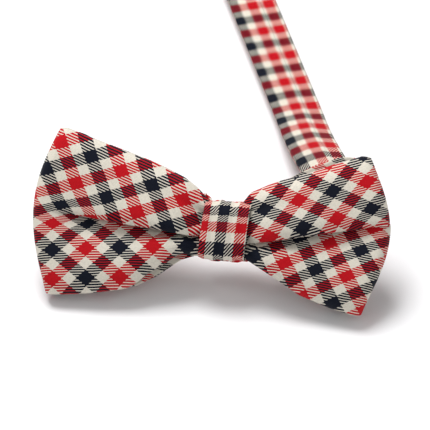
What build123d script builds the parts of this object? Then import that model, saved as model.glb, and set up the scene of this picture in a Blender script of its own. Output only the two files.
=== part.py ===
"""Pre-tied bow tie on an adjustable neckband, lying open.

The bow leans back on its own neckband and stands on its two lower wing corners.  Units are
millimetres, +Z is up, the bow's length runs along X and its face looks toward -Y and up.
Bow coordinates are a (along the bow), u (up the bow's face) and w (out of the face).
"""

from build123d import *
from math import atan2, cos, degrees, radians, sin
import os

# ---- driving dimensions -------------------------------------------------------------------
RECLINE = 45.0  # lean of the bow's face away from vertical, degrees
LEFT_REACH = 64.0  # knot centre to the outer fold of the left wing
RIGHT_REACH = 54.6
TOP_LEFT = (-57.6, 30.3)  # wing corners, (a, u) from the knot centre
TOP_RIGHT = (46.5, 28.7)
BOTTOM_LEFT = (-57.5, -24.9)
BOTTOM_RIGHT = (46.4, -24.9)
WING_HALF = 4.5  # half the depth of a wing, front layer to back layer
WAIST_HALF = 3.3  # the same where the knot pinches the bow
WAIST_U = 7.0  # half the height of the gathered waist
CLOTH = 2.2  # folded cloth strip: outer ply, interlining, inner ply
PLY = 0.6
LINING_SLACK = 0.1

KNOT_W = 16.0  # along the bow
KNOT_U = 21.0
KNOT_FRONT = 7.5
KNOT_BACK = -9.5
KNOT_PLY = 1.1
KNOT_LINING = 0.6

BAND_W = 17.0
BAND_T = 2.4
BAND_OFF = 6.2  # band centre behind the bow's middle plane
RUN_T = 1.5  # band thickness where it is pressed flat for the adjuster
GAP = 0.15

# The band's straight stretch: where it starts from the knot's foot, its heading and height.
RUN_START = (16.9, 82.2)
RUN_TURN = 110.4  # degrees from +X
RUN_Z = 4.6
RUN_FIXED = 140.0  # end of the part that never moves
SLIDER_AT = 131.5
HOOK_AT = 158.0

# The short side's end, with the eye ring.
SHORT_END = (-51.0, 33.0)
EYE_Z = 2.4

# ---- frames -------------------------------------------------------------------------------
LEAN = radians(RECLINE)
KNOT_Z = (24.9 + WING_HALF) * cos(LEAN)
KNOT = Vector((LEFT_REACH - RIGHT_REACH) / 2, -112.0, KNOT_Z)
FACE_OUT = Vector(0, -cos(LEAN), sin(LEAN))
FACE_UP = Vector(0, sin(LEAN), cos(LEAN))
bow_plane = Plane(origin=KNOT, x_dir=(1, 0, 0), z_dir=FACE_OUT)
loop_plane = Plane(origin=KNOT, x_dir=(1, 0, 0), z_dir=FACE_UP)
side_plane = Plane(origin=KNOT, x_dir=FACE_UP, z_dir=(1, 0, 0))

os.makedirs("parts", exist_ok=True)


def save(part, name):
    part.label = name
    export_step(part, f"parts/{name}.step")


# ---- the bow: one strip of cloth folded into a flat loop ----------------------------------
def loop_outline(inset):
    """Closed outline of the folded strip in (a, -w), drawn in from its outer face by inset."""
    wing = WING_HALF - inset
    waist = WAIST_HALF - inset
    left = LEFT_REACH - inset
    right = RIGHT_REACH - inset
    fold = WING_HALF
    front = [
        (-left + fold, wing),
        (-22, wing),
        (-9, waist),
        (9, waist),
        (22, wing),
        (right - fold, wing),
    ]
    back = [(a, -w) for a, w in reversed(front)]
    Polyline(*front)
    ThreePointArc(front[-1], (right, 0), back[0])
    Polyline(*back)
    ThreePointArc(back[-1], (-left, 0), front[0])


def bow_outline():
    """Outline of the bow's face in (a, u)."""
    left_mid = (-LEFT_REACH, 2)
    right_mid = (RIGHT_REACH, 6)
    Polyline(TOP_LEFT, (-11, 12.9), (-8.6, WAIST_U), (8.6, WAIST_U), (10, 13.2))
    ThreePointArc((10, 13.2), (27, 22.5), TOP_RIGHT)
    ThreePointArc(TOP_RIGHT, right_mid, BOTTOM_RIGHT)
    Polyline(BOTTOM_RIGHT, (26.5, -19.5), (11, -11), (8.6, -WAIST_U), (-8.6, -WAIST_U))
    Polyline((-8.6, -WAIST_U), (-11, -10.5), (-28.7, -20.8), BOTTOM_LEFT)
    ThreePointArc(BOTTOM_LEFT, left_mid, TOP_LEFT)


def looped_sheet(outer, inner, edge):
    """A folded sheet between two depths under the strip's outer face, held in by edge."""
    with BuildPart() as sheet:
        with BuildSketch(loop_plane):
            with BuildLine():
                loop_outline(outer)
            make_face()
            with BuildLine():
                loop_outline(inner)
            make_face(mode=Mode.SUBTRACT)
        extrude(amount=40, both=True)
        with BuildSketch(bow_plane):
            with BuildLine():
                bow_outline()
            make_face()
            if edge:
                offset(amount=-edge, mode=Mode.REPLACE)
        extrude(amount=15, both=True, mode=Mode.INTERSECT)
    return sheet.part


bow_lining_room = looped_sheet(PLY, CLOTH - PLY, 1.2)

with BuildPart() as bow_fabric:
    add(looped_sheet(0, CLOTH, 0))
    add(bow_lining_room, mode=Mode.SUBTRACT)
save(bow_fabric.part, "bow_fabric")

with BuildPart() as bow_interlining:
    add(looped_sheet(PLY + LINING_SLACK, CLOTH - PLY - LINING_SLACK, 1.2 + LINING_SLACK))
save(bow_interlining.part, "bow_interlining")

# ---- binding thread: turns round the gathered waist, under the knot -----------------------
THREAD = 0.6
with BuildPart() as pinch_thread:
    for turn in range(4):
        with BuildSketch(side_plane.offset((turn - 1.5) * (THREAD + 0.1) - THREAD / 2)):
            RectangleRounded(2 * (WAIST_U + THREAD + 0.1), 2 * (WAIST_HALF + THREAD + 0.1), 2)
            Rectangle(2 * (WAIST_U + 0.1), 2 * (WAIST_HALF + 0.1), mode=Mode.SUBTRACT)
        extrude(amount=THREAD)
save(pinch_thread.part, "pinch_thread")

# ---- knot: a folded band of cloth with its own interlining --------------------------------
KNOT_DEPTH = KNOT_FRONT - KNOT_BACK
KNOT_MID = (KNOT_FRONT + KNOT_BACK) / 2


def knot_ring(start, thick, width):
    """A ring round the waist and the band, start below the knot's outer face."""
    with BuildPart() as ring:
        with BuildSketch(side_plane.offset(-width / 2)):
            with Locations((0, KNOT_MID)):
                RectangleRounded(KNOT_U - 2 * start, KNOT_DEPTH - 2 * start, 3.2 - start)
                hole = start + thick
                RectangleRounded(
                    KNOT_U - 2 * hole, KNOT_DEPTH - 2 * hole, 3.2 - hole, mode=Mode.SUBTRACT
                )
        extrude(amount=width)
    return ring.part


with BuildPart() as knot_interlining:
    add(knot_ring(KNOT_PLY + 0.05, KNOT_LINING, KNOT_W - 1.6))
save(knot_interlining.part, "knot_interlining")

# Hand stitches that close the wrap, pulled in flush with its back face.
STITCH = 0.5
STITCH_L = 3.4
STITCH_PITCH = 2.6
STITCH_TILT = 24
with BuildPart() as knot_stitches:
    with BuildSketch(bow_plane.offset(KNOT_BACK + 0.02)):
        with GridLocations(0, STITCH_PITCH, 1, 6):
            SlotOverall(STITCH_L, STITCH, rotation=STITCH_TILT)
    extrude(amount=STITCH)
save(knot_stitches.part, "knot_stitches")

with BuildPart() as knot_wrap:
    add(knot_ring(0, KNOT_PLY, KNOT_W))
    with BuildSketch(bow_plane.offset(KNOT_BACK - 0.1)):
        with GridLocations(0, STITCH_PITCH, 1, 6):
            SlotOverall(STITCH_L + 0.1, STITCH + 0.1, rotation=STITCH_TILT)
    extrude(amount=STITCH + 0.2, mode=Mode.SUBTRACT)
save(knot_wrap.part, "knot_wrap")


# ---- neckband -----------------------------------------------------------------------------
def at_knot(x, y, z):
    """A point given from the knot's foot: x and y from the knot, z above the table."""
    return Vector(KNOT.X + x, KNOT.Y + y, z)


UP = Vector(0, 0, 1)
RUN_DIR = Vector(cos(radians(RUN_TURN)), sin(radians(RUN_TURN)), 0)
RUN_SIDE = RUN_DIR.cross(UP)
run_plane = Plane(origin=at_knot(*RUN_START, 0), x_dir=RUN_DIR, z_dir=RUN_SIDE)
BAND_Y = BAND_OFF * cos(LEAN)
BAND_Z = KNOT_Z - BAND_OFF * sin(LEAN)

# From the short end, round behind the left wing, through the knot, round behind the right
# wing and down to the straight stretch.
band_route = [
    at_knot(*SHORT_END, EYE_Z),
    at_knot(-50.8, 24.5, 5.2),
    at_knot(-48.8, 16.5, 9.6),
    at_knot(-43, 10, 13.4),
    at_knot(-34, 6.6, 15.6),
    at_knot(-24, BAND_Y + 0.6, BAND_Z - 0.1),
    at_knot(-13, BAND_Y, BAND_Z),
    at_knot(0, BAND_Y, BAND_Z),
    at_knot(15, BAND_Y, BAND_Z),
    at_knot(27, BAND_Y + 1.2, BAND_Z),
    at_knot(35.5, 10.5, 16.2),
    at_knot(38.7, 20, 15.9),
    at_knot(35.5, 32, 14.8),
    at_knot(29, 46, 12.2),
    at_knot(22.8, 63, 8.2),
    at_knot(*RUN_START, RUN_Z),
]
band_line = Edge.make_spline(band_route, tangents=[Vector(0, -1, 0), RUN_DIR])
KNOT_ALONG = band_line.param_at_point(band_route[7])
band_length = band_line.length
knot_distance = band_line.trim(0, KNOT_ALONG).length


def smooth(x):
    x = min(max(x, 0.0), 1.0)
    return x * x * (3 - 2 * x)


def band_section(distance):
    """Plane across the band and its thickness: on edge at the knot, flat toward both ends."""
    tangent = band_line.tangent_at(distance, position_mode=PositionMode.LENGTH)
    turned = FACE_OUT.rotate(Axis.Z, degrees(atan2(tangent.Y, tangent.X)))
    if distance < knot_distance:
        flat = smooth((knot_distance - distance - 44) / 28)
        thick = BAND_T
    else:
        flat = smooth((distance - knot_distance - 58) / 48)
        thick = BAND_T + (RUN_T - BAND_T) * smooth((distance - knot_distance - 70) / 40)
    face = turned * (1 - flat) + UP * flat
    face = (face - tangent * face.dot(tangent)).normalized()
    centre = band_line.position_at(distance, position_mode=PositionMode.LENGTH)
    return Plane(origin=centre, x_dir=face.cross(tangent), z_dir=tangent), thick


SECTIONS = 26
with BuildPart() as neckband:
    for step in range(SECTIONS + 1):
        plane, thick = band_section(band_length * step / SECTIONS)
        with BuildSketch(plane):
            RectangleRounded(BAND_W, thick, thick * 0.45)
    loft(ruled=True)
save(neckband.part, "neckband")

# The straight stretch of the band, which the slider grips.
with BuildPart() as band_run:
    with BuildSketch(Plane(origin=band_route[-1], x_dir=RUN_SIDE, z_dir=RUN_DIR)):
        RectangleRounded(BAND_W, RUN_T, RUN_T * 0.45)
    extrude(amount=RUN_FIXED)
save(band_run.part, "band_run")

# ---- adjuster on the long side --------------------------------------------------------------
LOWER_Z = 0.05 + RUN_T / 2
BAR_Z = (RUN_Z + LOWER_Z) / 2
TURN_R = (RUN_Z - LOWER_Z) / 2
BAR_R = TURN_R - RUN_T / 2 - GAP
RAIL_IN = BAND_W / 2 + 0.4
RAIL_T = 1.5
SLIDER_L = 11.0
CROSS_T = 1.1
CROSS_Z = RUN_Z + RUN_T / 2 + 0.15
SEWN_T = 1.15
CENTRE_W = 2.4
CENTRE_T = 1.0
CENTRE_Z = 0.1 + SEWN_T + 0.1 + CENTRE_T / 2

with BuildPart() as slider:
    with BuildSketch(run_plane):
        with Locations((SLIDER_AT, (CENTRE_Z - CENTRE_T / 2 + CROSS_Z + CROSS_T) / 2)):
            RectangleRounded(SLIDER_L, CROSS_Z + CROSS_T - CENTRE_Z + CENTRE_T / 2, 1.2)
    extrude(amount=RAIL_IN + RAIL_T, both=True)
    with BuildSketch(run_plane):
        with Locations((SLIDER_AT, 0)):
            Rectangle(SLIDER_L + 1, 2 * CROSS_Z)
    extrude(amount=RAIL_IN, both=True, mode=Mode.SUBTRACT)
    with BuildSketch(run_plane):
        with Locations((SLIDER_AT, CROSS_Z + CROSS_T / 2)):
            Rectangle(SLIDER_L - 4.4, CROSS_T + 1)
    extrude(amount=RAIL_IN - 1.2, both=True, mode=Mode.SUBTRACT)
    with BuildSketch(run_plane):
        with Locations((SLIDER_AT, CENTRE_Z)):
            RectangleRounded(CENTRE_W, CENTRE_T, 0.4)
    extrude(amount=RAIL_IN + 0.2, both=True)
save(slider.part, "slider")

# The band's end, sewn round the slider's centre bar.
with BuildPart() as sewn_end:
    with BuildSketch(run_plane):
        with Locations((SLIDER_AT, CENTRE_Z)):
            RectangleRounded(
                CENTRE_W + 2 * (SEWN_T + 0.1), CENTRE_T + 2 * (SEWN_T + 0.1), 1.6
            )
            RectangleRounded(CENTRE_W + 0.2, CENTRE_T + 0.2, 0.45, mode=Mode.SUBTRACT)
    extrude(amount=BAND_W / 2 - 0.2, both=True)
save(sewn_end.part, "sewn_end")
sewn_edge = SLIDER_AT + CENTRE_W / 2 + SEWN_T + 0.1


# Lower run of the doubled band, from the sewn end to the hook.
with BuildPart() as lower_run:
    with BuildSketch(run_plane):
        with Locations(((sewn_edge + 0.1 + HOOK_AT) / 2, LOWER_Z)):
            Rectangle(HOOK_AT - sewn_edge - 0.1, RUN_T)
    extrude(amount=BAND_W / 2, both=True)
save(lower_run.part, "lower_run")

with BuildPart() as upper_run:
    with BuildSketch(run_plane):
        with Locations(((RUN_FIXED + HOOK_AT) / 2, RUN_Z)):
            Rectangle(HOOK_AT - RUN_FIXED, RUN_T)
    extrude(amount=BAND_W / 2, both=True)
save(upper_run.part, "upper_run")

# Where the band turns back round the hook's bar.
with BuildPart() as hook_turn:
    with BuildSketch(run_plane):
        with Locations((HOOK_AT, BAR_Z)):
            Circle(TURN_R + RUN_T / 2)
            Circle(TURN_R - RUN_T / 2, mode=Mode.SUBTRACT)
            with Locations((-TURN_R * 2, 0)):
                Rectangle(TURN_R * 4, TURN_R * 4, mode=Mode.SUBTRACT)
    extrude(amount=BAND_W / 2, both=True)
save(hook_turn.part, "hook_turn")


def drooped(plane_origin, ahead, droop):
    """Plane of a flat fitting that hangs from its bar until it rests on the table."""
    lean = radians(droop)
    return Plane(
        origin=plane_origin, x_dir=ahead.cross(UP), z_dir=UP * cos(lean) + ahead * sin(lean)
    )


# ---- neck hook ------------------------------------------------------------------------------
HOOK_ARM = 7.0
HOOK_PLATE = 1.6
TONGUE_W = 6.0
TONGUE_L = 14.0
HOOK_DROOP = 7.0
hook_centre = run_plane.origin + RUN_DIR * HOOK_AT + UP * BAR_Z
hook_plane = drooped(hook_centre, RUN_DIR, HOOK_DROOP)
ARM_IN = BAND_W / 2 + 0.4
ARM_W = 1.8

with BuildPart() as neck_hook:
    with BuildSketch(hook_plane.offset(-HOOK_PLATE / 2)):
        with Locations((0, HOOK_ARM / 2)):
            RectangleRounded(2 * (ARM_IN + ARM_W), HOOK_ARM + 2, 1.6)
            with Locations((0, -1.2)):
                Rectangle(2 * ARM_IN, HOOK_ARM, mode=Mode.SUBTRACT)
    extrude(amount=HOOK_PLATE)
    with BuildSketch(Plane(hook_centre, x_dir=hook_plane.y_dir, z_dir=hook_plane.x_dir)):
        Circle(BAR_R)
    extrude(amount=ARM_IN + 0.4, both=True)
    tongue_side = Plane(hook_centre, x_dir=hook_plane.y_dir, z_dir=hook_plane.x_dir)
    with BuildSketch(tongue_side):
        with BuildLine():
            tip = Polyline((HOOK_ARM, 0), (TONGUE_L - 2, 0))
            curl = TangentArc((TONGUE_L - 2, 0), (TONGUE_L - 2, 3.4), tangent=(1, 0))
            Line(curl @ 1, (HOOK_ARM + 1.5, 3.0))
        trace(line_width=1.2)
    extrude(amount=TONGUE_W / 2, both=True)
save(neck_hook.part, "neck_hook")

# ---- eye ring on the short side ---------------------------------------------------------------
EYE_T = 1.6
EYE_L = 9.0
EYE_DROOP = 9.0
EYE_BAR_R = 0.9
FOLD_T = 1.3
FOLD_L = 9.0
EYE_DIR = Vector(0, 1, 0)
EYE_OUT = EYE_BAR_R + GAP + FOLD_T + 0.1
eye_centre = at_knot(*SHORT_END, EYE_Z) + EYE_DIR * (FOLD_L + 0.05)
eye_plane = drooped(eye_centre, EYE_DIR, EYE_DROOP)
eye_side = Plane(eye_centre, x_dir=EYE_DIR, z_dir=EYE_DIR.cross(UP))

with BuildPart() as eye_fold:
    with BuildSketch(eye_side):
        Circle(EYE_OUT)
        with BuildLine():
            Polyline(
                (-FOLD_L, -BAND_T / 2),
                (-1.2, -EYE_OUT + 0.35),
                (-1.2, EYE_OUT - 0.35),
                (-FOLD_L, BAND_T / 2),
                close=True,
            )
        make_face()
        Circle(EYE_BAR_R + GAP, mode=Mode.SUBTRACT)
    extrude(amount=BAND_W / 2, both=True)
save(eye_fold.part, "eye_fold")

with BuildPart() as eye_ring:
    with BuildSketch(eye_plane.offset(-EYE_T / 2)):
        with Locations((0, EYE_L / 2)):
            RectangleRounded(2 * (ARM_IN + ARM_W), EYE_L + EYE_T, 2.4)
            RectangleRounded(2 * ARM_IN, EYE_L - EYE_T, 1.2, mode=Mode.SUBTRACT)
            with Locations((0, -EYE_L / 2)):
                Rectangle(2 * ARM_IN, EYE_T + 3, mode=Mode.SUBTRACT)
    extrude(amount=EYE_T)
    with BuildSketch(Plane(eye_centre, x_dir=eye_plane.y_dir, z_dir=eye_plane.x_dir)):
        Circle(EYE_BAR_R)
    extrude(amount=ARM_IN + 0.6, both=True)
save(eye_ring.part, "eye_ring")

# Bar tack across the short side's fold.
with BuildPart() as eye_tack:
    tack_plane = Plane(
        eye_centre + UP * (BAND_T / 2 + 0.62) - EYE_DIR * (FOLD_L - 3.2),
        x_dir=EYE_DIR.cross(UP),
        z_dir=UP,
    )
    with BuildSketch(tack_plane):
        with GridLocations(2.0, 0, 7, 1):
            SlotOverall(2.0, STITCH, rotation=60)
    extrude(amount=STITCH)
save(eye_tack.part, "eye_tack")

print("band from the eye's fold to the straight stretch", round(band_length, 1))
print("band from the eye's fold to the knot", round(knot_distance, 1))
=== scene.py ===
"""Looks of the pre-tied bow tie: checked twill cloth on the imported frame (metres, +Z up)."""
import math

import bmesh
import bpy
import numpy as np
from mathutils import Matrix, Vector, noise


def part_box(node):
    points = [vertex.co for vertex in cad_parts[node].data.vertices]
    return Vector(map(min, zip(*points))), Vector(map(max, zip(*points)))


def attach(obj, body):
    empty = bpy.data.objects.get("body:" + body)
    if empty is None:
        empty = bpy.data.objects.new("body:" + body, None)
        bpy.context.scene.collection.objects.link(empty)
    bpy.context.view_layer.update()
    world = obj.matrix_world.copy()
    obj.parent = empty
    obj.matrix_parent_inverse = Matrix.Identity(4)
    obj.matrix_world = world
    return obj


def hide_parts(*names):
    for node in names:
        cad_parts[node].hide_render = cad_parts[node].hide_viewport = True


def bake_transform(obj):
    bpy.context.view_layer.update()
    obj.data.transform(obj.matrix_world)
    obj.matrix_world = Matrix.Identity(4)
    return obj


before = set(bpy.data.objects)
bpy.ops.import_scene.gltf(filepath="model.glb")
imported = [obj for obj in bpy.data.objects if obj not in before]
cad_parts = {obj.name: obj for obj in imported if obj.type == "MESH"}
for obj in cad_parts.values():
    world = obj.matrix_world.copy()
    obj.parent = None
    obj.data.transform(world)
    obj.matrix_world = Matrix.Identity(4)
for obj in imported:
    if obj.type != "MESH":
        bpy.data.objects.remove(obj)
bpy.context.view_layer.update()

MM = 0.001
LEAN = math.radians(45.0)  # how far the bow leans back
ACROSS = Vector((1, 0, 0))
FACE_UP = Vector((0, math.sin(LEAN), math.cos(LEAN)))
FACE_OUT = Vector((0, -math.cos(LEAN), math.sin(LEAN)))
UP = Vector((0, 0, 1))


def middle(node):
    low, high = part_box(node)
    return (Vector(low) + Vector(high)) / 2


KNOT_SETBACK = 1.0  # the wrap's middle lies this far behind the middle of the bow, in mm
KNOT = middle("knot_wrap") + FACE_OUT * KNOT_SETBACK * MM
SCENE = bpy.context.scene


def smooth(x):
    x = min(max(x, 0.0), 1.0)
    return x * x * (3 - 2 * x)


def mix(a, b, t):
    return a + (b - a) * t


def at_bow(a, u, w):
    """World point from bow coordinates in millimetres: along, up the face, out of the face."""
    return KNOT + (ACROSS * a + FACE_UP * u + FACE_OUT * w) * MM


# ---- materials ---------------------------------------------------------------------------------
RED = (0.50, 0.004, 0.010, 1)
NAVY = (0.004, 0.006, 0.014, 1)
CREAM = (0.72, 0.675, 0.58, 1)


class Nodes:
    """Short helpers over one material's node tree."""

    def __init__(self, name):
        self.material = bpy.data.materials.new(name)
        self.material.use_nodes = True
        self.tree = self.material.node_tree
        self.shader = self.tree.nodes["Principled BSDF"]

    def add(self, kind, **settings):
        node = self.tree.nodes.new(kind)
        for key, value in settings.items():
            setattr(node, key, value)
        return node

    def link(self, out, into):
        self.tree.links.new(out, into)

    def math(self, operation, a, b=None, c=None):
        node = self.add("ShaderNodeMath", operation=operation)
        for index, value in enumerate((a, b, c)):
            if value is None:
                continue
            if isinstance(value, (int, float)):
                node.inputs[index].default_value = value
            else:
                self.link(value, node.inputs[index])
        return node.outputs[0]

    def ramp(self, value, stops, interpolation="CONSTANT"):
        node = self.add("ShaderNodeValToRGB")
        node.color_ramp.interpolation = interpolation
        elements = node.color_ramp.elements
        elements[0].position, elements[0].color = stops[0]
        elements[1].position, elements[1].color = stops[1]
        for position, colour in stops[2:]:
            elements.new(position).color = colour
        self.link(value, node.inputs[0])
        return node.outputs[0]

    def blend(self, factor, a, b, kind="MIX"):
        node = self.add("ShaderNodeMix", data_type="RGBA", blend_type=kind)
        for socket, value in ((node.inputs[0], factor), (node.inputs[6], a), (node.inputs[7], b)):
            if isinstance(value, (int, float, tuple)):
                socket.default_value = value
            else:
                self.link(value, socket)
        return node.outputs[2]


TWILL_LINES = 12  # twill lines in one repeat of the check
STRIPE = 0.137  # half a coloured stripe, in repeats
BOLD = 0.15  # how much of a twill line the darker thread gains on the paler one
WOBBLE = 0.03  # how far the lines of the check wander, in repeats
PAINTED_RIB_SHADE = 0.05  # painted shade: how much the colour darkens and lightens either way over a twill line, in step with its bump


def checked_twill(name):
    """Cloth whose UV counts repeats of the check: red, cream, navy, cream both ways, in twill."""
    n = Nodes(name)
    uv = n.add("ShaderNodeUVMap", uv_map="cloth")
    wobble = n.add("ShaderNodeTexNoise")
    wobble.inputs["Scale"].default_value = 3.0
    n.link(uv.outputs[0], wobble.inputs["Vector"])
    shift = n.add("ShaderNodeVectorMath", operation="MULTIPLY_ADD")
    n.link(wobble.outputs["Color"], shift.inputs[0])
    shift.inputs[1].default_value = (WOBBLE, WOBBLE, 0)
    n.link(uv.outputs[0], shift.inputs[2])
    axes = n.add("ShaderNodeSeparateXYZ")
    n.link(shift.outputs[0], axes.inputs[0])
    stops = [
        (0.0, RED), (STRIPE, CREAM), (0.5 - STRIPE, NAVY), (0.5 + STRIPE, CREAM), (1 - STRIPE, RED),
    ]
    i, j = axes.outputs[0], axes.outputs[1]
    warp = n.ramp(n.math("FRACT", i), stops)
    weft = n.ramp(n.math("FRACT", j), stops)
    line = n.math("FRACT", n.math("MULTIPLY", n.math("SUBTRACT", i, j), TWILL_LINES))
    early = n.blend(n.math("GREATER_THAN", line, 0.5 - BOLD), warp, weft)
    late = n.blend(n.math("GREATER_THAN", line, 0.5 + BOLD), warp, weft)
    cloth = n.blend(1.0, early, late, "DARKEN")
    slub = n.add("ShaderNodeTexNoise")
    slub.inputs["Scale"].default_value = 26.0
    n.link(uv.outputs[0], slub.inputs["Vector"])
    pale_and_dark = [(0.3, (0.86, 0.86, 0.86, 1)), (0.7, (1, 1, 1, 1))]
    shade = n.ramp(slub.outputs["Fac"], pale_and_dark, "LINEAR")
    cloth = n.blend(1.0, cloth, shade, "MULTIPLY")
    groove = n.math("SINE", n.math("MULTIPLY", line, 2 * math.pi * 2))
    # painted shade: the colour is darkened and lightened along the twill lines, as light would fall
    # on their ribs
    painted_rib_shade = n.math("MULTIPLY_ADD", groove, PAINTED_RIB_SHADE, 1.0)
    cloth = n.blend(1.0, cloth, painted_rib_shade, "MULTIPLY")
    n.link(cloth, n.shader.inputs["Base Color"])
    bump = n.add("ShaderNodeBump")
    bump.inputs["Strength"].default_value = 0.35
    bump.inputs["Distance"].default_value = 0.00012
    n.link(groove, bump.inputs["Height"])
    n.link(bump.outputs[0], n.shader.inputs["Normal"])
    n.shader.inputs["Roughness"].default_value = 0.82
    n.shader.inputs["Sheen Weight"].default_value = 0.03
    n.shader.inputs["Sheen Roughness"].default_value = 0.5
    n.shader.inputs["Specular IOR Level"].default_value = 0.12
    return n.material


def plain_cloth(name, colour, scale):
    """Plain woven cloth or thread with a fine grain."""
    n = Nodes(name)
    where = n.add("ShaderNodeTexCoord")
    grain = n.add("ShaderNodeTexNoise")
    grain.inputs["Scale"].default_value = scale
    n.link(where.outputs["Object"], grain.inputs["Vector"])
    dark = tuple(c * 0.75 for c in colour[:3]) + (1,)
    tone = n.ramp(grain.outputs["Fac"], [(0.3, dark), (0.7, colour)], "LINEAR")
    n.link(tone, n.shader.inputs["Base Color"])
    bump = n.add("ShaderNodeBump")
    bump.inputs["Strength"].default_value = 0.4
    bump.inputs["Distance"].default_value = 0.0001
    n.link(grain.outputs["Fac"], bump.inputs["Height"])
    n.link(bump.outputs[0], n.shader.inputs["Normal"])
    n.shader.inputs["Roughness"].default_value = 0.85
    return n.material


def nickel(name):
    """Polished nickel plate with faint handling marks."""
    n = Nodes(name)
    where = n.add("ShaderNodeTexCoord")
    marks = n.add("ShaderNodeTexNoise")
    marks.inputs["Scale"].default_value = 900.0
    marks.inputs["Detail"].default_value = 6.0
    n.link(where.outputs["Object"], marks.inputs["Vector"])
    tone = n.ramp(
        marks.outputs["Fac"], [(0.35, (0.62, 0.60, 0.56, 1)), (0.65, (0.74, 0.72, 0.68, 1))], "LINEAR"
    )
    n.link(tone, n.shader.inputs["Base Color"])
    rough = n.math("MULTIPLY_ADD", marks.outputs["Fac"], 0.18, 0.14)
    n.link(rough, n.shader.inputs["Roughness"])
    n.shader.inputs["Metallic"].default_value = 1.0
    return n.material


CLOTH = checked_twill("checked_twill")
LINING = plain_cloth("interlining", (0.78, 0.76, 0.70, 1), 1800.0)
THREAD = plain_cloth("thread", (0.55, 0.03, 0.04, 1), 4000.0)
METAL = nickel("nickel")


# ---- meshes from grids -------------------------------------------------------------------------
def sheet_object(name, rows, uvs, thickness=0.0, offset=0.0):
    """A grid of points, rows by columns, as one mesh with its cloth UV map."""
    mesh = bpy.data.meshes.new(name)
    height = len(rows)
    width = len(rows[0])
    verts = [tuple(p) for row in rows for p in row]
    faces = []
    corners = []
    for r in range(height - 1):
        for c in range(width - 1):
            four = ((r, c), (r, c + 1), (r + 1, c + 1), (r + 1, c))
            faces.append([row * width + column for row, column in four])
            corners.append([uvs[row][column] for row, column in four])
    mesh.from_pydata(verts, [], faces)
    layer = mesh.uv_layers.new(name="cloth")
    for polygon, four in zip(mesh.polygons, corners):
        polygon.use_smooth = True
        for loop, value in zip(polygon.loop_indices, four):
            layer.data[loop].uv = value
    mesh.update()
    obj = bpy.data.objects.new(name, mesh)
    SCENE.collection.objects.link(obj)
    mesh.materials.append(CLOTH)
    if thickness:
        solid = obj.modifiers.new("thick", "SOLIDIFY")
        solid.thickness = thickness
        solid.offset = offset
        apply_modifier(obj, "thick")
    return obj


def apply_modifier(obj, name):
    bpy.context.view_layer.objects.active = obj
    obj.select_set(True)
    bpy.ops.object.modifier_apply(modifier=name)
    obj.select_set(False)


def catmull_rom(points, parts):
    """The curve from the second point to the last but one, and the distance along it."""
    dense = []
    for k in range(1, len(points) - 2):
        p0, p1, p2, p3 = points[k - 1:k + 3]
        for part in range(parts):
            t = part / parts
            dense.append(0.5 * (2 * p1 + (p2 - p0) * t + (2 * p0 - 5 * p1 + 4 * p2 - p3) * t * t
                                + (3 * p1 - p0 - 3 * p2 + p3) * t ** 3))
    dense.append(points[-2])
    dense = np.array(dense)
    return dense, np.r_[0, np.cumsum(np.linalg.norm(np.diff(dense, axis=0), axis=1))]


def curve_through(points, count):
    """Evenly spaced (u, w, place) along a curve through (u, w) points, place counting them."""
    points = [np.array(p, float) for p in points]
    ends = [2 * points[0] - points[1]] + points + [2 * points[-1] - points[-2]]
    dense, lengths = catmull_rom(ends, 12)
    wanted = np.linspace(0, lengths[-1], count)
    along = np.linspace(0, len(points) - 1, len(dense))
    return np.stack(
        [np.interp(wanted, lengths, values) for values in (dense[:, 0], dense[:, 1], along)], axis=1
    )


# ---- the bow -----------------------------------------------------------------------------------
class Lobe:
    """Where the check lies on one lobe of a wing: a point of it and its two repeats, in mm."""

    def __init__(self, origin, first, second, start=(0, 0)):
        self.origin = np.array(origin, float)
        self.inverse = np.linalg.inv(np.array([first, second], float).T)
        self.start = np.array(start, float)

    def uv(self, a, u):
        """Repeats of the check at (a, u), counted along its two thread directions."""
        return self.start + self.inverse @ (np.array([a, u]) - self.origin)


LEFT_UPPER = Lobe((-56.24, 25.18), (6.39, -13.15), (14.68, 5.04))
LEFT_LOWER = Lobe((-57.11, -1.02), (11.90, -8.30), (10.50, 10.61), (2, -1))
RIGHT_UPPER = Lobe((24.49, 11.72), (13.07, -4.93), (8.94, 12.61))
RIGHT_LOWER = Lobe((35.63, -2.04), (6.50, -10.23), (14.36, 7.36), (2, -1))


class Wing:
    """One wing by its outline in (x, u), where x runs outward from the knot.

    top, middle and bottom are how far out its fold lies there, pleat is the lip's (u, slope) and
    peek says where the back layer shows: (x, half length, above the front, below the front).
    """

    def __init__(self, side, upper, lower, top, middle, bottom, top_edge, bottom_edge, pleat, peek):
        self.side = side
        self.upper = upper
        self.lower = lower
        self.corners = (top, middle, bottom)
        self.top_edge = top_edge
        self.bottom_edge = bottom_edge
        self.pleat = pleat
        self.peek = peek

    def back_shows(self, x):
        """How far the back layer shows past the front at its (top, bottom) edge."""
        centre, half, above, below = self.peek
        bump = smooth(1.4 * (1 - abs(x - centre) / half))
        return above * bump, below * bump

    def top(self, x):
        return float(np.interp(x, *zip(*self.top_edge)))

    def bottom(self, x):
        return float(np.interp(x, *zip(*self.bottom_edge)))

    def lip(self, x):
        """Height of the pleat's lip."""
        return self.pleat[0] + self.pleat[1] * (x - PLEAT_FROM)

    def reach(self, share):
        """How far out the fold lies at a share of the height, 0 at the bottom, 1 at the top."""
        top, middle, bottom = self.corners
        bulge = (4 * share * (1 - share)) ** 1.5
        return mix(bottom, top, share) + (middle - (top + bottom) / 2) * bulge


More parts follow.
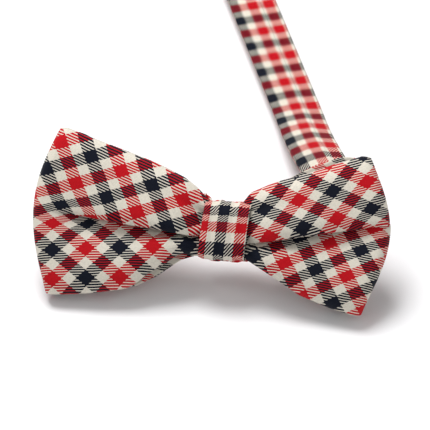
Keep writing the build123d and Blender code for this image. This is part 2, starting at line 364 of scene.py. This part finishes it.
LEFT = Wing(
    -1, LEFT_UPPER, LEFT_LOWER, 57.2, 63.8, 57.8,
    [
        (0, 7.0), (5, 7.6), (8.5, 11.4), (11, 13.6), (15, 16.3), (24.6, 20.4), (35, 23.7),
        (48.6, 27.8), (58, 31.0), (66, 33.8),
    ],
    [
        (0, -7.0), (6, -7.4), (8.5, -8.4), (14.3, -10.6), (22, -16.6), (28.7, -20.4), (44, -23.4),
        (58, -24.9), (66, -25.6),
    ],
    (-1.9, 0.108), (20.0, 13.0, 0.0, 3.0),
)
RIGHT = Wing(
    1, RIGHT_UPPER, RIGHT_LOWER, 46.2, 54.3, 46.6,
    [
        (0, 7.0), (5, 8.0), (8.2, 12.8), (16, 16.8), (25, 21.0), (36, 25.8), (47, 29.4), (56, 31.6),
    ],
    [
        (0, -7.0), (6, -7.4), (8.5, -8.6), (17.8, -13.8), (26.5, -18.9), (36.8, -22.4), (47, -24.9),
        (56, -26.6),
    ],
    (-3.1, 0.21), (34.0, 20.0, 2.6, 0.0),
)

PLEAT_FROM = 8.0  # where the pleat's lip is at the u of wing.pleat
LOBE_RISE = 4.8  # how far a lobe swells out of the front edge's plane
FOLD_DEPTH = 6.0  # cloth tucked into the pleat
FOLD_END = 62.0  # where the pleat has opened out
BACK_W = -3.3  # depth of the back layer out by the fold
WAIST_BACK_W = -1.6  # the same at the knot
FRONT_EDGE = 1.0  # depth of the front layer's top edge
ROUND = 2.4  # radius of the fold at the wing's tip
INNER = 1.0  # where a wing starts, under the knot
PROFILE = 64  # rows across a wing
SPAN = 60  # columns from the knot to the fold
ROUND_STEPS = 14  # columns round the fold


def cross_section(wing, x):
    """The front layer across the wing at x from the top edge down: u, w and the profile's place."""
    above, below = wing.back_shows(x)
    top = wing.top(x) - above * 0.5
    bottom = wing.bottom(x) + below
    lip = wing.lip(x)
    fold = smooth((FOLD_END - x) / 27)
    rise = LOBE_RISE * smooth((x - 3) / 14) * (1 - 0.25 * smooth((x - 30) / 30)) + 1.2
    low = rise * 0.72
    tuck = FOLD_DEPTH * fold * smooth((x - 4) / 8)
    return curve_through([
        (top, FRONT_EDGE),
        (mix(top, lip, 0.05), FRONT_EDGE + rise * 0.42),
        (mix(top, lip, 0.20), FRONT_EDGE + rise * 0.80),
        (mix(top, lip, 0.50), FRONT_EDGE + rise),
        (mix(top, lip, 0.82), FRONT_EDGE + mix(rise * 0.95, rise * 1.08, fold)),
        (lip + 0.4, FRONT_EDGE + mix(rise * 0.93, rise * 0.92, fold)),
        (lip - 0.5 + 0.3 * fold, FRONT_EDGE + mix(rise * 0.91, rise * 0.55, fold)),
        (lip - 0.9 + tuck * 0.6, FRONT_EDGE + mix(rise * 0.90, rise * 0.30, fold)),
        (lip - 1.3 + tuck * 0.9, FRONT_EDGE + mix(rise * 0.89, rise * 0.12, fold)),
        (lip - 1.8 + tuck * 0.5, FRONT_EDGE + mix(rise * 0.88, -rise * 0.02, fold)),
        (lip - 2.8, FRONT_EDGE + mix(rise * 0.86, rise * 0.20, fold)),
        (mix(lip, bottom, 0.38), FRONT_EDGE + mix(rise * 0.82, low * 0.86, fold)),
        (mix(lip, bottom, 0.66), FRONT_EDGE + low),
        (mix(lip, bottom, 0.88), FRONT_EDGE + low * 0.74),
        (mix(lip, bottom, 0.97), FRONT_EDGE + low * 0.36),
        (bottom, FRONT_EDGE - 0.2),
    ], PROFILE)


STATION_STEP = 0.5  # spacing of the worked-out sections along the wing, in mm
STATION_END = 68.0


def sections(wing):
    """The front layer's sections at even stations from the knot's middle outward."""
    stations = np.arange(0, STATION_END, STATION_STEP)
    return np.array([cross_section(wing, x) for x in stations])


def front_point(table, x, k):
    """Row k of the front layer at x, between two stations: u, w and the profile's place."""
    step = int(x / STATION_STEP)
    return tuple(mix(table[step, k], table[step + 1, k], x / STATION_STEP - step))


def crease(wing, x, share):
    """Soft gathers that fan out from the knot."""
    fade = math.exp(-(x - 8) / 11) if x > 8 else 1.0
    fan = 0.45 * math.sin(share * 19 + 0.8 * wing.side) + 0.3 * math.sin(share * 41 + 2.0)
    waves = noise.noise(Vector((x * 0.055, share * 2.3, 5.0 * wing.side)))
    return fan * fade + 0.9 * waves * smooth((x - 10) / 20)


TUCK_FROM = 5.4  # places in the profile between which the hidden tuck turns one lobe to the other
TUCK_TO = 8.6


def cloth_uv(wing, a, u, place, x):
    """Repeats of the check at a point of the front, from the upper or the lower lobe's map."""
    hidden = smooth((54 - x) / 16)
    open_blend = smooth(0.5 + (wing.lip(x) - 1.0 - u) / 15.0)
    tucked = smooth((place - TUCK_FROM) / (TUCK_TO - TUCK_FROM))
    return tuple(mix(wing.upper.uv(a, u), wing.lower.uv(a, u), mix(open_blend, tucked, hidden)))


def wing_grid(wing):
    """Front layer from the knot outward, round the fold, and the back layer home again."""
    table = sections(wing)
    angles = list(np.linspace(0, math.pi, ROUND_STEPS + 2)[1:-1])
    rows = []
    uvs = []
    for k in range(PROFILE):
        share = k / (PROFILE - 1)
        edge = wing.reach(1 - share) - ROUND
        held = smooth(share * 9) * smooth((1 - share) * 9)  # the two long edges don't gather
        xs = list(np.linspace(INNER, edge, SPAN))
        row = []
        uv_row = []
        for x in xs:
            u, w, place = front_point(table, x, k)
            w += crease(wing, x, share) * held
            a = wing.side * x
            row.append(at_bow(a, u, w))
            uv_row.append(cloth_uv(wing, a, u, place, x))
        edge_u, edge_w, edge_place = front_point(table, edge, k)
        edge_w += crease(wing, edge, share) * held
        for angle in angles:
            w = mix(edge_w, BACK_W, (1 - math.cos(angle)) / 2)
            row.append(at_bow(wing.side * (edge + ROUND * math.sin(angle)), edge_u, w))
            a_flat = wing.side * (edge + ROUND * angle)
            uv_row.append(cloth_uv(wing, a_flat, edge_u, edge_place, edge))
        for x in reversed(xs):
            above = wing.back_shows(x)[0]
            full = mix(wing.bottom(x), wing.top(x) + above * 0.5, 1 - share)
            u = mix(full, edge_u, smooth((x - edge + 12) / 12))
            w = mix(WAIST_BACK_W, BACK_W, smooth(x / 16))
            w += 0.5 * crease(wing, x + 3, 1 - share)
            row.append(at_bow(wing.side * x, u, w))
            a_flat = wing.side * (edge + ROUND * math.pi + (edge - x))
            uv_row.append(cloth_uv(wing, a_flat, u, edge_place, edge))
        rows.append(row)
        uvs.append(uv_row)
    return rows, uvs


STRIP_T = 1.5  # thickness of the strip's cloth
for wing, name in ((LEFT, "left_wing"), (RIGHT, "right_wing")):
    grid, grid_uv = wing_grid(wing)
    obj = sheet_object(name, grid, grid_uv, STRIP_T * MM)
    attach(obj, "bow")
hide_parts("bow_fabric")
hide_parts("bow_fabric")

LINING_SHARE = 0.90  # height of the interlining, as a share of the bow's
LINING_SHORT = 6.0  # how far it stops short of a wing's tip


def lining_object():
    """One flat sheet of interlining between the bow's two layers, from wing tip to wing tip."""
    rows = []
    uvs = []
    for share in np.linspace(0, 1, 18):
        row = []
        for wing in (LEFT, RIGHT):
            xs = np.linspace(0.5, wing.reach(share) - LINING_SHORT, 40)
            for x in reversed(xs) if wing.side < 0 else xs:
                above, below = wing.back_shows(x)
                low = (wing.bottom(x) + below) * LINING_SHARE
                high = (wing.top(x) - above * 0.5) * LINING_SHARE
                u = mix(low, high, share)
                row.append(at_bow(wing.side * x, u, -1.2 - 0.4 * smooth(x / 14)))
        rows.append(row)
        uvs.append([(0.0, 0.0)] * len(row))
    return sheet_object("bow_lining", rows, uvs, 0.5 * MM)


TUFT_AT = -10.4  # the tuft's outer end, along the bow
TUFT_L = 5.2


def tuft_object():
    """The crumpled corner of the strip that stands up beside the knot's upper left."""
    rows = []
    uvs = []
    for v in np.linspace(0, 1, 15):
        row = []
        uv_row = []
        for t in np.linspace(0, 1, 25):
            a = TUFT_AT + TUFT_L * t
            rise = 5.0 + 4.6 * math.sin(math.pi * t) ** 0.6
            ruck = 0.9 * math.sin(t * 14 + 2 * v)
            row.append(at_bow(a + 0.4 * ruck, 2.6 + rise * v, -3.0 + ruck - 1.2 * v))
            uv_row.append((0.42 * t - 0.22, 0.40 * v - 0.25))
        rows.append(row)
        uvs.append(uv_row)
    return sheet_object("strip_tuft", rows, uvs, 0.6 * MM)


tuft = tuft_object()
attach(tuft, "bow")


def clad(obj, material):
    """Gives a piece one material in place of the check."""
    obj.data.materials.clear()
    obj.data.materials.append(material)


lining = lining_object()
clad(lining, LINING)
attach(lining, "bow")
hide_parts("bow_interlining")

# ---- the knot ----------------------------------------------------------------------------------
KNOT_REPEAT = (12.77, 15.33)  # one repeat of the check across and round the knot
KNOT_LEAN = math.tan(math.radians(4.0))
KNOT_HALF_U = 9.1  # the wrap's half height and its depths at its edges, to its outer face
KNOT_FRONT = 8.0
KNOT_BACK = 8.4
KNOT_SWELL = 0.9  # how much fuller it is in its middle, except at its back
KNOT_CORNER = 3.4  # 2 would make the ring an ellipse, more squares its corners
WRAP_FROM = -190.0  # the angle where the wrap starts, at its back
LAP_RISE = 0.45  # how far its end lies over its start
LAP_STEPS = 6


def knot_ring(angle, a, inset=0.0):
    """Point of the wrapped knot at an angle round the bow's waist: 0 faces front, up is 90."""
    c = math.cos(angle)
    s = math.sin(angle)
    swell = KNOT_SWELL * (1 - (a / 10.5) ** 2)
    half_u = KNOT_HALF_U + swell
    depth = KNOT_FRONT + swell if c > 0 else KNOT_BACK
    radius = (abs(c / depth) ** KNOT_CORNER + abs(s / half_u) ** KNOT_CORNER) ** (-1 / KNOT_CORNER)
    fold = 0.20 * math.sin(a * 1.9 + 0.5 * math.sin(angle * 3))
    fold += 0.16 * math.sin(a * 0.9 + angle * 2 + 1.0)
    radius += fold - inset
    return s * radius, c * radius


def knot_object(name, inset, width, thickness, overlap=12):
    """A strip wrapped round the waist, overlap degrees past its own start."""
    columns = 40
    steps = 120
    rows = []
    uvs = []
    for r in range(steps + 1):
        angle = math.radians(WRAP_FROM + (350 + overlap) * r / steps)
        row = []
        uv_row = []
        for c in range(columns + 1):
            a = 0.15 + width * (c / columns - 0.5)
            u, w = knot_ring(angle, a, inset)
            lean = KNOT_LEAN * u * (1 if math.cos(angle) > 0 else -1)
            lap = LAP_RISE if r > steps - LAP_STEPS and overlap else 0.0
            row.append(at_bow(a + lean, u, w - KNOT_SETBACK - lap))
            along = angle * 9.4 + 8.0 * min(max(angle, 0.0), 0.63) ** 2
            uv_row.append(((a - 5.9) / KNOT_REPEAT[0], (along - 1.6) / KNOT_REPEAT[1]))
        rows.append(row)
        uvs.append(uv_row)
    return sheet_object(name, rows, uvs, thickness * MM, offset=-1.0)


knot = knot_object("knot_cloth", 0.0, 15.4, 0.9)
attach(knot, "bow")
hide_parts("knot_wrap")
knot_lining = knot_object("knot_lining", 1.5, 13.6, 0.5, overlap=0)
clad(knot_lining, LINING)
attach(knot_lining, "bow")
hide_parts("knot_interlining")

# ---- the neck band -----------------------------------------------------------------------------
# In mm, with the CAD's own sizes where it has them; x and y are from the knot's foot.
BAND_W = 17.0
BAND_T = 2.4
RUN_T = 1.5  # thickness where the band is pressed flat for the adjuster
BAND_Y = 4.384  # where the band passes behind the bow
BAND_Z = 16.405
RUN_START = Vector((16.9, 82.2, 0))  # the straight stretch: its start, heading and height
RUN_TURN = math.radians(110.4)
RUN_DIR = Vector((math.cos(RUN_TURN), math.sin(RUN_TURN), 0))
RUN_SIDE = RUN_DIR.cross(UP)
RUN_Z = 4.6
RUN_FIXED = 140.0  # end of the part that never moves
HOOK_AT = 158.0
SLIDER_AT = 131.5
KNOT_FOOT = Vector((KNOT.x, KNOT.y, 0)) * 1000
CHECK_ALONG = 14.65  # one repeat of the check along and across the band
CHECK_ACROSS = 13.2
LAP_AT = 2.6  # the seam where the two folded sides meet, from the middle of the band
LAP_COLUMNS = 9  # points of the profile from the edge to that seam
LAP_STEP = 0.4  # how far the under side of the lap lies below its upper side
CROWN = 1.7  # how much fuller its middle is on the way from the bow to the straight stretch
ROUTE_KNOT = 7  # the route's point at the knot
BAND_ROUTE = [
    (-51, 33, 2.4), (-50.8, 24.5, 5.2), (-48.8, 16.5, 9.6), (-43, 10, 13.4), (-34, 6.6, 15.6),
    (-24, BAND_Y + 0.6, BAND_Z - 0.1), (-13, BAND_Y, BAND_Z), (0, BAND_Y, BAND_Z),
    (15, BAND_Y, BAND_Z), (27, BAND_Y + 1.2, BAND_Z), (35.5, 10.5, 16.2), (38.7, 20, 15.9),
    (35.5, 32, 14.8), (29, 46, 12.2), (22.8, 63, 8.2), (16.9, 82.2, 4.6),
]


def route_points(step=1.6, parts=24):
    """Even points along the band's curve, with the distance of each and of the knot."""
    points = [np.array(p, float) for p in BAND_ROUTE]
    before = points[0] + np.array((0, 9, 0.0))
    after = points[-1] + np.array(RUN_DIR) * 18
    dense, lengths = catmull_rom([before] + points + [after], parts)
    wanted = np.linspace(0, lengths[-1], int(lengths[-1] / step) + 1)
    even = np.stack([np.interp(wanted, lengths, dense[:, axis]) for axis in range(3)], axis=1)
    return [Vector(p) for p in even], wanted, lengths[ROUTE_KNOT * parts]


def band_profile(thick, crown):
    """Cross-section of the folded band as (c, h) points, its lapped edge on the upper face."""
    half = BAND_W / 2
    inner = half - 0.5

    def upper(c):
        return thick / 2 + crown * (1 - (c / half) ** 2)

    def lower(c):
        return -thick / 2 + crown * 0.35 * (1 - (c / half) ** 2)

    def edge(side, angles):
        return [(side * (half - 0.5 * (1 - math.sin(t))), thick / 2 * math.cos(t)) for t in angles]

    under_lap = [(c, upper(c) - LAP_STEP) for c in np.linspace(inner, LAP_AT, LAP_COLUMNS)]
    over_lap = [(c, upper(c)) for c in np.linspace(LAP_AT, -inner, 17)]
    bottom = [(c, lower(c)) for c in np.linspace(-inner, inner, 18)]
    left = edge(-1, np.linspace(0.3, 2.84, 6))
    right = edge(1, np.linspace(2.84, 0.3, 6))
    return under_lap + over_lap + left + bottom + right


def band_object(name, stations):
    """Closed band through stations of (point, side, face, thickness, crown, distance)."""
    rows = []
    uvs = []
    for point, side, face, thick, crown, distance in stations:
        row = []
        uv_row = []
        for index, (c, h) in enumerate(band_profile(thick, crown)):
            row.append((point + side * c + face * h) * MM)
            phase = (c - 5.6) if index < LAP_COLUMNS or h < 0 else (c + 0.4)
            uv_row.append((phase / CHECK_ACROSS, (distance - 6.9) / CHECK_ALONG + 0.5))
        row.append(row[0])
        uv_row.append(uv_row[0])
        rows.append(row)
        uvs.append(uv_row)
    obj = sheet_object(name, rows, uvs)
    cap_ends(obj, len(rows), len(rows[0]))
    return obj


def cap_ends(obj, rows, width):
    """Merges the closing column of the tube and caps its two ends."""
    work = bmesh.new()
    work.from_mesh(obj.data)
    work.verts.ensure_lookup_table()
    first = [work.verts[c] for c in range(width - 1)]
    last = [work.verts[(rows - 1) * width + c] for c in range(width - 1)]
    pairs = {work.verts[r * width + width - 1]: work.verts[r * width] for r in range(rows)}
    bmesh.ops.weld_verts(work, targetmap=pairs)
    work.faces.new(list(reversed(first)))
    work.faces.new(last)
    bmesh.ops.recalc_face_normals(work, faces=work.faces)
    work.to_mesh(obj.data)
    work.free()


def neckband_stations():
    """The fixed band: on edge behind the bow, turning flat toward both its ends."""
    points, distances, at_the_knot = route_points()
    stations = []
    for index, (point, distance) in enumerate(zip(points, distances)):
        ahead = points[min(index + 1, len(points) - 1)] - points[max(index - 1, 0)]
        if index == len(points) - 1:
            ahead = RUN_DIR
        if index == 0:
            ahead = Vector((0, -1, 0))
        ahead = ahead.normalized()
        heading = math.atan2(ahead.y, ahead.x)
        turned = Matrix.Rotation(heading, 3, "Z") @ FACE_OUT
        off = distance - at_the_knot
        flat = smooth((-off - 44) / 28) if off < 0 else smooth((off - 32) / 36)
        thick = mix(BAND_T, RUN_T, smooth((off - 70) / 40))
        face = turned * (1 - flat) + UP * flat
        face = (face - ahead * face.dot(ahead)).normalized()
        side = ahead.cross(face)
        crown = CROWN * smooth((off - 30) / 20) * smooth((distances[-1] + 26 - distance) / 50)
        along = distance - distances[-1]
        stations.append((point + KNOT_FOOT, side, face, thick, crown, along))
    start = RUN_START + KNOT_FOOT + UP * RUN_Z
    for s in np.arange(2.0, RUN_FIXED + 0.1, 2.0):
        stations.append((start + RUN_DIR * s, RUN_SIDE, UP, RUN_T, CROWN * smooth((26 - s) / 50), s))
    return stations


STATION = 1.5  # spacing along the flat stretches


def run_point(s, z):
    """Point at a distance along the straight stretch and a height over the table."""
    return RUN_START + KNOT_FOOT + RUN_DIR * s + UP * z


def run_stations(first, last, z, thick, backwards=False):
    """A flat stretch of band, which has turned over if it runs backwards from the hook."""
    face = -UP if backwards else UP
    found = []
    for s in np.linspace(first, last, max(int(abs(last - first) / STATION), 3)):
        along = 2 * HOOK_AT - s if backwards else s
        found.append((run_point(s, z), RUN_SIDE, face, thick, 0.0, along))
    return found


def turn_stations(centre_s, centre_z, radius, thick, tail_to):
    """Up over a bar and back: half a turn, then a flat tail underneath."""
    found = []
    for angle in np.linspace(90, -90, 13):
        t = math.radians(angle)
        out = RUN_DIR * math.cos(t) + UP * math.sin(t)
        found.append((run_point(centre_s, centre_z) + out * radius, RUN_SIDE, out, thick, 0.0,
                      centre_s + radius * math.radians(90 - angle)))
    for s in np.arange(centre_s - STATION, tail_to, -STATION):
        along = 2 * centre_s - s + 6
        found.append((run_point(s, centre_z - radius), RUN_SIDE, -UP, thick, 0.0, along))
    return found


neckband = band_object("neckband_cloth", neckband_stations())
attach(neckband, "bow")
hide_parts("neckband", "band_run")

upper = band_object("upper_band_cloth", run_stations(RUN_FIXED, HOOK_AT, RUN_Z, RUN_T))
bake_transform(upper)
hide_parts("upper_run")

BAR_Z = 2.7  # height of the hook's bar
TURN_R = 1.9
TURN_TAIL = 16.8  # clears the sewn end when the slider is nearest the hook
turn = band_object(
    "band_turn_cloth", turn_stations(HOOK_AT, BAR_Z, TURN_R, RUN_T, HOOK_AT - TURN_TAIL)
)
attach(turn, "band_end")
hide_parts("hook_turn")

RETURN_Z = 0.8
RETURN_T = 1.0
RETURN_FROM = SLIDER_AT + 3.1  # where it leaves the sewn end
RETURN_TO = HOOK_AT - 4.4
lower = band_object(
    "band_return_cloth", run_stations(RETURN_FROM, RETURN_TO, RETURN_Z, RETURN_T, backwards=True)
)
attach(lower, "slider")
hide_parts("lower_run")

CENTRE_Z = 1.85  # height of the slider's middle bar
SEWN_MID_W = 1.95  # the oval's half length and half height
SEWN_MID_H = 1.2
SEWN_T = 0.8


def loop_stations():
    """The sewn end: a flat oval of band round the slider's middle bar."""
    found = []
    for angle in np.linspace(0, 360, 25):
        t = math.radians(angle)
        out = RUN_DIR * math.cos(t) + UP * math.sin(t)
        point = run_point(SLIDER_AT, CENTRE_Z)
        point = point + RUN_DIR * SEWN_MID_W * math.cos(t) + UP * SEWN_MID_H * math.sin(t)
        found.append((point, RUN_SIDE, out, SEWN_T, 0.0, SLIDER_AT + angle * 0.03))
    return found


sewn = band_object("sewn_end_cloth", loop_stations())
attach(sewn, "slider")
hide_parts("sewn_end")

# ---- the short side's end, folded through the eye ----------------------------------------------
FOLD_L = 9.0  # from the fold's sewn end to the eye's bar
FOLD_T = 1.1
FOLD_SEWN = 0.65  # half the distance between its two layers where they are sewn
EYE_FOLD_R = 1.75  # the same at the eye's bar
EYE_AT = Vector((-51, 42.05, 2.4)) + KNOT_FOOT


def eye_stations():
    """The fold of the short side: over the eye's bar and back under itself."""
    reach = Vector((0, 1, 0))
    side = reach.cross(UP)
    flat = np.linspace(-FOLD_L, -1.5, 6)
    found = []

    def rise(y):
        return mix(FOLD_SEWN, EYE_FOLD_R, smooth((y + FOLD_L) / 7.0))

    for y in flat:
        found.append((EYE_AT + reach * y + UP * rise(y), side, UP, FOLD_T, 0.0, y))
    for angle in np.linspace(80, -80, 11):
        t = math.radians(angle)
        out = reach * math.cos(t) + UP * math.sin(t)
        found.append((EYE_AT + out * EYE_FOLD_R, side, out, FOLD_T, 0.0, 1.5 + (80 - angle) * 0.03))
    for y in reversed(flat):
        found.append((EYE_AT + reach * y - UP * rise(y), side, -UP, FOLD_T, 0.0, 8 - y))
    return found


fold = band_object("eye_fold_cloth", eye_stations())
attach(fold, "bow")
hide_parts("eye_fold")

# ---- materials on the CAD pieces that stay -----------------------------------------------------
FINISH = {
    "pinch_thread": THREAD,
    "knot_stitches": THREAD,
    "eye_tack": THREAD,
    "slider": METAL,
    "neck_hook": METAL,
    "eye_ring": METAL,
}
for node, finish in FINISH.items():
    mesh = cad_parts[node].data
    mesh.materials.clear()
    mesh.materials.append(finish)


# ---- floor, light and camera -------------------------------------------------------------------
def backdrop():
    bpy.ops.mesh.primitive_plane_add(size=6.0, location=(0, 0, -0.0004))
    floor = bpy.context.object
    floor.name = "backdrop"
    n = Nodes("backdrop")
    n.shader.inputs["Base Color"].default_value = (0.86, 0.86, 0.87, 1)
    n.shader.inputs["Roughness"].default_value = 0.9
    n.shader.inputs["Specular IOR Level"].default_value = 0.1
    floor.data.materials.append(n.material)
    return floor


backdrop()


def area_light(name, at, size, watts, aim):
    """A square lamp at a place, turned toward a point."""
    data = bpy.data.lights.new(name, "AREA")
    data.shape = "SQUARE"
    data.size = size
    data.energy = watts
    light = bpy.data.objects.new(name, data)
    light.location = at
    light.rotation_euler = (Vector(aim) - Vector(at)).to_track_quat("-Z", "Y").to_euler()
    SCENE.collection.objects.link(light)


area_light("key", (-0.3, 0.35, 1.25), 0.6, 18.5, (0, -0.05, 0.02))
area_light("fill", (0.75, -0.75, 0.95), 1.1, 2.4, (0, -0.03, 0.02))
area_light("front", (-0.7, -0.6, 1.0), 1.0, 2.4, (0, -0.03, 0.02))
world = bpy.data.worlds.new("world")
world.use_nodes = True
world.node_tree.nodes["Background"].inputs[0].default_value = (1, 1, 1, 1)
world.node_tree.nodes["Background"].inputs[1].default_value = 0.33
SCENE.world = world

AZIMUTH = math.radians(6)
ELEVATION = math.radians(43)
DISTANCE = 1.2
SHIFT_LEFT = 0.00333  # moves the knot off the middle of the picture, as in the photograph
SHIFT_UP = 0.00533
right = Vector((math.cos(AZIMUTH), math.sin(AZIMUTH), 0))
level = math.cos(ELEVATION)
view = Vector((-math.sin(AZIMUTH) * level, math.cos(AZIMUTH) * level, -math.sin(ELEVATION)))
camera_data = bpy.data.cameras.new("camera")
camera_data.sensor_width = 36.0
camera_data.lens = 301.4
camera_data.clip_start = 0.01
camera = bpy.data.objects.new("camera", camera_data)
camera.location = KNOT - view * DISTANCE - right * SHIFT_LEFT + right.cross(view) * SHIFT_UP
camera.rotation_euler = view.to_track_quat("-Z", "Y").to_euler()
SCENE.collection.objects.link(camera)
SCENE.camera = camera
SCENE.render.resolution_x = 430
SCENE.render.resolution_y = 430
SCENE.view_settings.view_transform = "Standard"
